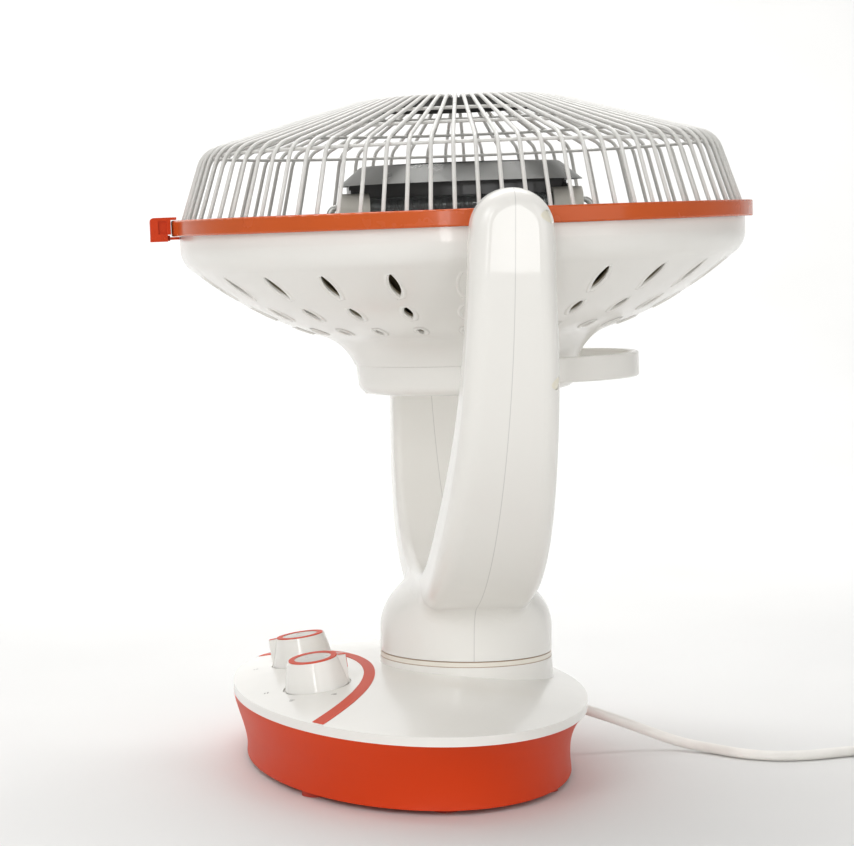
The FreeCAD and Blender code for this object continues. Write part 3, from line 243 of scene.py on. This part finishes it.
def painted_shade_inside_shell(look):
    """Painted shade on the unlit inner face of the head's bowl, which shows through the vents: a darker
    brownish colour in place of the white.
    """
    place = look.mapped(HEAD_FRAME)
    x = look.axis(place, "X")
    y = look.axis(place, "Y")
    radius = look.sum("SQRT", look.sum("ADD", look.sum("MULTIPLY", x, x), look.sum("MULTIPLY", y, y)))
    beyond = look.sum("SUBTRACT", radius, BOWL_START * MM)
    square = look.sum("MULTIPLY", look.sum("MULTIPLY", beyond, beyond), BOWL_BEND / MM)
    rise = look.sum("ADD", look.sum("MULTIPLY", beyond, BOWL_SLOPE), square)
    outside = look.sum("ADD", rise, BOWL_FOOT * MM)
    above = look.sum("SUBTRACT", look.axis(place, "Z"), outside)
    deep = look.spread(above, 0.0, 0.92, 0.9 * MM, 1.6 * MM)
    within = look.spread(radius, 1.0, 0.0, 160.0 * MM, 162.0 * MM)
    return look.sum("MULTIPLY", deep, within), linear(120, 108, 82)


def ring_lines(look):
    """Thin brownish lines where the slip ring meets its neighbours."""
    level = look.axis(look.place, "Z")
    from_middle = look.sum("ABSOLUTE", look.sum("SUBTRACT", level, SLIP_RING_LEVEL * MM))
    return look.spread(from_middle, 0.0, 0.85, 1.05 * MM, 1.5 * MM), linear(150, 112, 70)


def painted(name, colour, rough=0.2, coat=0.6, edge=0.4 * MM, shine=0.5):
    """Baked paint on sheet metal, with a long orange-peel ripple and thin spots on the edges."""
    look = Look(name)
    rounded = look.soft_edges(edge)
    cloud = look.noise(14.0, 3.0)
    shade = look.blend(look.spread(cloud, 0.0, 1.0), scaled(colour, 0.93), scaled(colour, 1.05))
    thin = look.spread(look.noise(160.0, 4.0), 0.0, 0.5, 0.45, 0.7)
    worn = look.sum("MULTIPLY", look.edge_share(rounded), thin)
    shade = look.blend(worn, shade, scaled(colour, 1.3))
    look.set(Base_Color=shade, Coat_Weight=coat, Coat_Roughness=0.06, Specular_IOR_Level=shine)
    look.set(Roughness=look.spread(look.noise(60.0, 3.0), rough - 0.05, rough + 0.1))
    ripple = look.relief(look.noise(150.0, 1.5), 0.08 * MM, 0.45, rounded)
    look.set(Normal=look.relief(look.noise(700.0, 2.0), 0.02 * MM, 0.3, ripple))
    return look.material


def bare_metal(name, colour, rough=0.3, stretch=(1, 1, 9), edge=0.2 * MM, stain=0.25):
    """Drawn or plated metal: fine lines one way, cloudy tarnish, bright edges."""
    look = Look(name)
    rounded = look.soft_edges(edge)
    lines = look.noise(420.0, 3.0, look.mapped(None, stretch))
    tarnish = look.noise(22.0, 4.0, rough=0.6)
    shade = look.blend(look.spread(lines, 0.0, 1.0), scaled(colour, 0.82), scaled(colour, 1.08))
    shade = look.blend(look.spread(tarnish, 0.0, stain, 0.5, 0.75), shade, scaled(colour, 0.45))
    shade = look.blend(look.sum("MULTIPLY", look.edge_share(rounded), 0.4), shade, scaled(colour, 1.3))
    look.set(Base_Color=shade, Metallic=1.0)
    look.set(Roughness=look.spread(look.noise(70.0, 3.0), rough - 0.08, rough + 0.12))
    look.set(Normal=look.relief(lines, 0.02 * MM, 0.4, rounded))
    return look.material


def spun_metal(name, colour, rough=0.16, back=None):
    """Sheet spun on a former: fine rings round the head's axis, and, if one is given, another colour on
    the faces turned down: a dull back on the dish, painted shade under the heat shield.
    """
    look = Look(name)
    place = look.mapped(HEAD_FRAME)
    grooves = look.rings(700.0, place, 0.6)
    broad = look.noise(16.0, 3.0)
    shade = look.blend(look.spread(grooves, 0.0, 1.0), scaled(colour, 0.85), scaled(colour, 1.05))
    shade = look.blend(look.spread(broad, 0.0, 0.35, 0.5, 0.75), shade, scaled(colour, 0.6))
    if back is None:
        look.set(Base_Color=shade, Metallic=1.0)
    else:
        facing = look.axis(look.tree.nodes["Texture Coordinate"].outputs["Normal"], "Z")
        behind = look.spread(facing, 1.0, 0.0, -0.1, 0.0)
        look.set(Base_Color=look.blend(behind, shade, back), Metallic=look.sum("SUBTRACT", 1.0, behind))
    look.set(Roughness=look.spread(look.noise(48.0, 4.0), rough - 0.06, rough + 0.1))
    dents = look.relief(look.noise(26.0, 2.0), 0.6 * MM, 0.4)
    look.set(Normal=look.relief(grooves, 0.03 * MM, 0.4, dents))
    return look.material


def grained(name, colour, rough=0.55, grain=900.0, depth=0.06, edge=0.3 * MM):
    """Dull moulded plastic, rubber or fired clay with a fine even grain."""
    look = Look(name)
    rounded = look.soft_edges(edge)
    cloud = look.noise(26.0, 3.0)
    pits = look.cells(grain)
    shade = look.blend(look.spread(cloud, 0.0, 1.0), scaled(colour, 0.88), scaled(colour, 1.06))
    shade = look.blend(look.sum("MULTIPLY", look.edge_share(rounded), 0.35), shade, scaled(colour, 1.35))
    look.set(Base_Color=shade)
    look.set(Roughness=look.spread(look.noise(90.0, 3.0), rough - 0.1, rough + 0.12))
    look.set(Normal=look.relief(pits, depth * MM, 0.5, rounded))
    return look.material


def clear_quartz(name):
    """Clear tube glass with faint draw lines along its length."""
    look = Look(name)
    lines = look.noise(260.0, 2.0, look.mapped(None, (1, 0.08, 1)))
    shade = look.blend(look.spread(lines, 0.0, 1.0), linear(228, 232, 232), linear(246, 248, 248))
    look.set(Base_Color=shade)
    look.set(Transmission_Weight=0.94, IOR=1.46)
    look.set(Roughness=look.spread(look.noise(60.0, 3.0), 0.02, 0.10))
    look.set(Normal=look.relief(lines, 0.05 * MM, 0.3))
    return look.material


def woven_strand(name, colour):
    """Twisted black strand: slanted ridges on a dull dark body."""
    look = Look(name)
    ridges = look.tree.nodes.new("ShaderNodeTexWave")
    ridges.bands_direction = "DIAGONAL"
    ridges.inputs["Scale"].default_value = 420.0
    ridges.inputs["Distortion"].default_value = 1.2
    look.feed(ridges.inputs["Vector"], look.place)
    look.set(Base_Color=look.blend(ridges.outputs["Fac"], scaled(colour, 0.5), scaled(colour, 2.4)))
    look.set(Roughness=look.spread(look.noise(200.0, 3.0), 0.35, 0.6))
    look.set(Normal=look.relief(ridges.outputs["Fac"], 0.2 * MM, 0.6))
    return look.material


WHITE = linear(238, 236, 231)
SKIRT_ORANGE = linear(212, 64, 20)
RING_ORANGE = linear(203, 88, 32)

looks = {
    "white_gloss": moulding("white_gloss_look", WHITE),
    "orange_gloss": moulding("orange_gloss_look", SKIRT_ORANGE, 0.42, 0.0, shine=0.18),
    "ring_paint": painted("ring_paint_look", RING_ORANGE, 0.2, 0.2, shine=0.3),
    "wire_grey": painted("wire_grey_look", linear(224, 223, 219), 0.3, 0.25, 0.1 * MM),
    "disc_grey": painted("disc_grey_look", linear(70, 70, 68), 0.38, 0.15),
    "plain_steel": bare_metal("plain_steel_look", linear(196, 196, 192), 0.32),
    "dish_metal": spun_metal("dish_metal_look", linear(214, 215, 214), back=linear(150, 135, 106)),
    # The heat shield's dark underside colour is painted shade, not a different finish.
    "shield_metal": spun_metal("shield_metal_look", linear(128, 128, 126), 0.3, linear(62, 60, 58)),
    "quartz": clear_quartz("quartz_look"),
    "carbon": woven_strand("carbon_look", linear(44, 43, 42)),
    "ceramic": grained("ceramic_look", linear(226, 222, 212), 0.5, 1400.0),
    "foot_rubber": grained("foot_rubber_look", linear(176, 50, 30), 0.6, 1100.0),
    "cord_jacket": grained("cord_jacket_look", linear(242, 240, 235), 0.42, 1500.0, 0.03),
    "plug_white": moulding("plug_white_look", linear(230, 228, 221), 0.3, 0.2),
    "pin_brass": bare_metal("pin_brass_look", linear(214, 196, 138), 0.25),
    "knob_grey": grained("knob_grey_look", linear(203, 200, 194), 0.34, 2200.0, 0.02),
    "dark_plastic": grained("dark_plastic_look", linear(52, 52, 54), 0.5, 1300.0),
    "slip_cream": moulding("slip_cream_look", linear(238, 233, 222), 0.4, 0.1),
    "tie_black": grained("tie_black_look", linear(38, 38, 39), 0.5, 1600.0),
    "yoke_white": moulding("yoke_white_look", WHITE, mark=yoke_seam),
    # The head shell's inner face carries a painted shade colour.
    "shell_white": moulding("shell_white_look", WHITE, mark=painted_shade_inside_shell),
    "slip_ring": moulding("slip_ring_look", linear(238, 233, 222), 0.4, 0.1, mark=ring_lines),
    # The shield bracket's near-black colour is painted shade for the shade inside the heat shield, not
    # black paint.
    "dark_sheet": painted("painted_shade_sheet_look", linear(52, 51, 50), 0.35, 0.2, 0.2 * MM),
    "cap_cream": moulding("cap_cream_look", linear(236, 231, 214), 0.35, 0.2),
    "print_grey": grained("print_grey_look", linear(120, 118, 114), 0.5, 3000.0, 0.01, 0.05 * MM),
}

# Nodes that wear another look than their slot's
SPECIAL_LOOKS = {
    "yoke_front_shell": "yoke_white",
    "yoke_rear_shell": "yoke_white",
    "head_shell": "shell_white",
    "slip_ring": "slip_ring",
    "latch_pin": "orange_gloss",
    "shield_bracket": "dark_sheet",
}


def dress_nodes():
    """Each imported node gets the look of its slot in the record."""
    for name, node in nodes.items():
        worn = node.data.materials[0].name.split(".")[0] if node.data.materials else "white_gloss"
        look = looks[SPECIAL_LOOKS.get(name, worn)]
        node.data.materials.clear()
        node.data.materials.append(look)


def finished_mesh(shape, name):
    mesh = bpy.data.meshes.new(name)
    shape.to_mesh(mesh)
    shape.free()
    return mesh


def new_piece(name, mesh, body, slot, look=None):
    """A piece of the scene that rides on a body; its look is its slot's unless one is named."""
    piece = bpy.data.objects.new(name, mesh)
    scene.collection.objects.link(piece)
    mesh.materials.append(looks[look or slot])
    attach(piece, body)
    return piece


# Supply cord: one smooth line from the base to the plug, through its coil
CORD_ROUTE = [
    (0.0, 68.98, 28.52),
    (0.0, 92.0, 20.7),
    (0.5, 113.0, 12.5),
    (7.0, 134.0, 4.9),
    (22.0, 150.5, 3.3),
    (41.0, 163.0, 3.3),
    (53.0, 181.0, 3.3),
    (54.0, 203.0, 3.3),
    (48.0, 225.0, 3.3),
    (45.0, 247.0, 3.6),
    (40.0, 266.0, 4.5),
]
CORD_DIAMETER = 6.3
COIL_TURNS = 6.5
COIL_POINTS = 24
COIL_FRAME = Matrix.Translation((83.768, 285.284, 4.5)) @ Matrix.Rotation(math.radians(196.2113), 4, "Z")


def coil_spot(turns):
    """A place on the coil: in towards the middle on the floor, then out again on top."""
    offset = turns - COIL_TURNS / 2
    spread = abs(offset)
    if spread < 0.25:
        spread = 2 * spread ** 2 + 0.125
    lift = min(1.0, max(0.0, offset * 2 + 0.5))
    radius = 24.5 + 7.0 * spread
    level = 6.9 * (0.5 - 0.5 * math.cos(math.pi * lift))
    angle = -2 * math.pi * turns
    return COIL_FRAME @ Vector((radius * math.cos(angle), radius * math.sin(angle), level))


def cord_points():
    turned = [coil_spot(step / COIL_POINTS) for step in range(int(COIL_TURNS * COIL_POINTS) + 1)]
    leaving = (turned[-1] - turned[-2]).normalized()
    return [Vector(spot) for spot in CORD_ROUTE] + turned + [turned[-1] + leaving * CORD_DIAMETER]


def add_cord():
    points = cord_points()
    curve = bpy.data.curves.new("supply_cord", "CURVE")
    curve.dimensions = "3D"
    curve.bevel_depth = CORD_DIAMETER / 2 * MM
    curve.bevel_resolution = 5
    curve.resolution_u = 5
    curve.use_fill_caps = True
    spline = curve.splines.new("NURBS")
    spline.points.add(len(points) - 1)
    for point, spot in zip(spline.points, points):
        point.co = (*(spot * MM), 1.0)
    spline.order_u = 3
    spline.use_endpoint_u = True
    cord = new_piece("supply_cord", curve, "base", "cord_jacket")
    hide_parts("power_cord", "cord_coil")


# Printed ticks round the knobs, lying on the domed cover
def dome_level(x, y):
    return DOME_RIM + DOME_RISE * (1 - (x / DOME_HALF_X) ** 2 - ((y - DOME_CENTRE_Y) / DOME_HALF_Y) ** 2)


KNOB_SPOTS = {"heat": (41.0, -98.7), "timer": (-41.0, -94.3)}
KNOB_SINK = 0.7
POINTER_BEARINGS = {"heat": -8.0, "timer": 165.0}
TICK_BEARINGS = {"heat": (74, 11, -38, -105), "timer": (255, 210, 165, 120, 75, 30, -15)}
TICK_BARS = ((28.8, 3.2), (30.6, 2.2))
TICK_DEPTH = 0.8
TICK_LIFTS = (0.03, 0.07)


def add_tick_marks(dial):
    """Short double bars outside the knob's foot, a hair above the cover."""
    shape = bmesh.new()
    centre_x, centre_y = KNOB_SPOTS[dial]
    for bearing in TICK_BEARINGS[dial]:
        heading = math.radians(bearing)
        outward = Vector((math.cos(heading), math.sin(heading)))
        aside = Vector((-outward.y, outward.x))
        for reach, width in TICK_BARS:
            corners = []
            for lift in TICK_LIFTS:
                for along, side in ((0, -1), (0, 1), (TICK_DEPTH, 1), (TICK_DEPTH, -1)):
                    flat = outward * (reach + along) + aside * side * width / 2
                    x = centre_x + flat.x
                    y = centre_y + flat.y
                    corners.append(shape.verts.new(Vector((x, y, dome_level(x, y) + lift)) * MM))
            shape.faces.new(corners[4:8])
            shape.faces.new(corners[3::-1])
            for edge in range(4):
                after = (edge + 1) % 4
                shape.faces.new((corners[edge], corners[after], corners[4 + after], corners[4 + edge]))
    name = dial + "_tick_marks"
    new_piece(name, finished_mesh(shape, name), "base", "knob_grey", "print_grey")


# Pointer strip over each knob's nose
def knob_frame(dial, bearing):
    x, y = KNOB_SPOTS[dial]
    lean_x = 2 * DOME_RISE * x / DOME_HALF_X ** 2
    lean_y = 2 * DOME_RISE * (y - DOME_CENTRE_Y) / DOME_HALF_Y ** 2
    normal = Vector((lean_x, lean_y, 1.0))
    lean = Vector((0, 0, 1)).rotation_difference(normal).to_matrix().to_4x4()
    place = Matrix.Translation((x, y, dome_level(x, y)))
    sunk = Matrix.Translation((0, 0, -KNOB_SINK))
    return place @ lean @ Matrix.Rotation(math.radians(bearing), 4, "Z") @ sunk


STRIP_HALF_WIDTH = 1.1
STRIP_LINE = ((14.2, 17.0), (15.2, 16.85), (19.1, 16.65), (19.4, 16.3), (19.4, 8.5))


def add_pointer(dial):
    """A thin raised strip from the ring, over the nose and down its end."""
    place = knob_frame(dial, POINTER_BEARINGS[dial])
    shape = bmesh.new()
    rows = []
    for reach, level in STRIP_LINE:
        row = []
        for side in (-STRIP_HALF_WIDTH, STRIP_HALF_WIDTH):
            row.append(shape.verts.new((place @ Vector((side, reach, level))) * MM))
        rows.append(row)
    for first, second in zip(rows, rows[1:]):
        shape.faces.new((first[0], first[1], second[1], second[0]))
    name = dial + "_pointer"
    strip = new_piece(name, finished_mesh(shape, name), dial + "_dial", "orange_gloss")
    thick = strip.modifiers.new("thickness", "SOLIDIFY")
    thick.thickness = 0.35 * MM
    thick.offset = 0.4
    round_edges = strip.modifiers.new("edges", "BEVEL")
    round_edges.width = 0.1 * MM
    round_edges.segments = 2


# Embossed rims round the vents of the head
VENTS = ((150.0, 21.0, 5.6), (124.5, 15.0, 4.6), (100.0, 9.5, 3.2))
VENT_ROWS = 24
RIM_POINTS = 40
SLOT_SHARE = 0.46
RIM_LANES = ((0.4, 0.02), (1.0, 0.6), (1.8, 0.75), (2.9, 0.02))


def bowl_level(radius):
    beyond = radius - BOWL_START
    return BOWL_FOOT + BOWL_SLOPE * beyond + BOWL_BEND * beyond ** 2


def lens_outline(length, width, grow):
    """Points round a slot made of two bows, grown outwards."""
    half = length * SLOT_SHARE
    steepness = width / half
    points = []
    for side in (1, -1):
        for step in range(RIM_POINTS // 2):
            along = side * (1 - 4 * step / RIM_POINTS)
            bulge = side * (1 - along * along)
            lean = math.hypot(1.0, along * steepness)
            out_along = along * steepness / lean
            out_aside = side / lean
            points.append((along * half + grow * out_along, bulge * width / 2 + grow * out_aside))
    return points


def vent_rim(shape, radius, length, width, angle):
    """One low rounded ridge round a vent, on the bowl's outside."""
    lanes = []
    for grow, drop in RIM_LANES:
        lane = []
        for along, aside in lens_outline(length, width, grow):
            reach = radius + along - 0.25 * grow
            spot = Vector((reach, aside, bowl_level(math.hypot(reach, aside)) - drop))
            spot.rotate(Matrix.Rotation(angle, 3, "Z"))
            lane.append(shape.verts.new(HEAD_FRAME @ (spot * MM)))
        lanes.append(lane)
    for inner, outer in zip(lanes, lanes[1:]):
        for step in range(RIM_POINTS):
            after = (step + 1) % RIM_POINTS
            shape.faces.new((inner[step], inner[after], outer[after], outer[step]))


def add_vent_rims():
    shape = bmesh.new()
    for row in range(VENT_ROWS):
        angle = (row + 0.5) * 2 * math.pi / VENT_ROWS
        for radius, length, width in VENTS:
            vent_rim(shape, radius, length, width, angle)
    for face in shape.faces:
        face.smooth = True
    bmesh.ops.recalc_face_normals(shape, faces=shape.faces)
    new_piece("vent_rims", finished_mesh(shape, "vent_rims"), "head", "white_gloss")


# Caps in the screw wells of the arms' rear edges: reach, height, how far back, and the surface's lean
SCREW_CAPS = ((200.0, 329.0, 15.9, -0.39), (188.5, 240.0, 22.9, 0.16))
CAP_RINGS = ((1.2, 0.0), (2.4, 0.0), (3.1, 0.1), (3.4, 0.4))
CAP_FLOOR = 9.2
CAP_SINK = 0.35
EDGE_SLOPE = 0.83
EDGE_BEND = 0.11
CAP_POINTS = 28
BELOW_FLOOR = 100.0


def cap_ring(shape, side, cap, radius, drop):
    """A ring of points on the arm's rounded edge, a little below its surface."""
    reach, level, back, lean = cap
    ring = []
    for step in range(CAP_POINTS):
        turn = 2 * math.pi * step / CAP_POINTS
        out = radius * math.cos(turn)
        up = radius * math.sin(turn)
        surface = back - EDGE_SLOPE * out - EDGE_BEND * out * out + lean * up
        skin = surface - CAP_SINK - drop
        spot = Vector((side * (reach + out), max(skin, CAP_FLOOR), level + up))
        ring.append(shape.verts.new(YOKE_FRAME @ (spot * MM)))
    return ring


def add_screw_caps():
    shape = bmesh.new()
    for side in (-1, 1):
        for cap in SCREW_CAPS:
            rings = [cap_ring(shape, side, cap, radius, drop) for radius, drop in CAP_RINGS]
            rings.append(cap_ring(shape, side, cap, CAP_RINGS[-1][0], BELOW_FLOOR))
            shape.faces.new(rings[0])
            shape.faces.new(rings[-1])
            for inner, outer in zip(rings, rings[1:]):
                for step in range(CAP_POINTS):
                    after = (step + 1) % CAP_POINTS
                    shape.faces.new((inner[step], inner[after], outer[after], outer[step]))
    bmesh.ops.recalc_face_normals(shape, faces=shape.faces)
    new_piece("screw_caps", finished_mesh(shape, "screw_caps"), "yoke", "slip_cream", "cap_cream")


# Studio: pale floor that bends up behind the object, soft light from all round
def add_floor():
    shape = bmesh.new()
    profile = [(3.0, 0.0), (-1.6, 0.0)]
    for step in range(1, 13):
        turn = math.radians(90 * step / 12)
        profile.append((-1.6 - 1.2 * math.sin(turn), 1.2 - 1.2 * math.cos(turn)))
    profile.append((-2.8, 4.0))
    rows = [[shape.verts.new((x, y, z)) for y in (-6.0, 6.0)] for x, z in profile]
    for first, second in zip(rows, rows[1:]):
        face = shape.faces.new((first[0], first[1], second[1], second[0]))
        face.smooth = True
    mesh = finished_mesh(shape, "floor")
    floor = bpy.data.objects.new("floor", mesh)
    scene.collection.objects.link(floor)
    look = Look("floor_look")
    pale = look.spread(look.noise(3.0, 2.0), 0.0, 1.0)
    look.set(Base_Color=look.blend(pale, linear(222, 222, 221), linear(227, 227, 226)), Roughness=0.7)
    mesh.materials.append(look.material)


def add_soft_light(name, spot, aim, width, height, power, spread=180.0):
    lamp = bpy.data.lights.new(name, "AREA")
    lamp.shape = "RECTANGLE"
    lamp.size = width
    lamp.size_y = height
    lamp.energy = power
    lamp.spread = math.radians(spread)
    light = bpy.data.objects.new(name, lamp)
    light.location = spot
    light.rotation_euler = (Vector(aim) - Vector(spot)).to_track_quat("-Z", "Y").to_euler()
    scene.collection.objects.link(light)


def add_studio():
    world = bpy.data.worlds.new("studio")
    world.use_nodes = True
    backdrop = world.node_tree.nodes["Background"]
    backdrop.inputs["Color"].default_value = (1.0, 0.99, 0.975, 1.0)
    backdrop.inputs["Strength"].default_value = 0.43
    scene.world = world
    middle = (0.0, 0.0, 0.25)
    add_soft_light("key", (1.5, -1.5, 1.3), middle, 1.0, 1.0, 12.0)
    add_soft_light("fill", (1.7, 1.2, 0.9), middle, 1.2, 1.2, 6.0)
    add_soft_light("top", (-0.2, 0.0, 2.2), middle, 1.8, 1.8, 7.0)
    add_soft_light("wall", (-1.0, 0.0, 3.0), (-2.8, 0.0, 0.9), 3.0, 1.0, 90.0)
    add_soft_light("base", (1.7, -0.7, 0.7), (0.0, -0.02, 0.05), 0.4, 0.4, 0.05, 14.0)
    arm_face = (0.2, 0.0, 0.32)
    add_soft_light("left strip", (2.3, -0.75, 0.45), arm_face, 0.18, 0.7, 3.6)
    add_soft_light("right strip", (2.3, 0.2, 0.45), arm_face, 0.14, 0.7, 2.4)
    scene.view_settings.view_transform = "Standard"


add_camera()
dress_nodes()
add_cord()
for dial_name in KNOB_SPOTS:
    add_tick_marks(dial_name)
    add_pointer(dial_name)
add_vent_rims()
add_screw_caps()
add_floor()
add_studio()
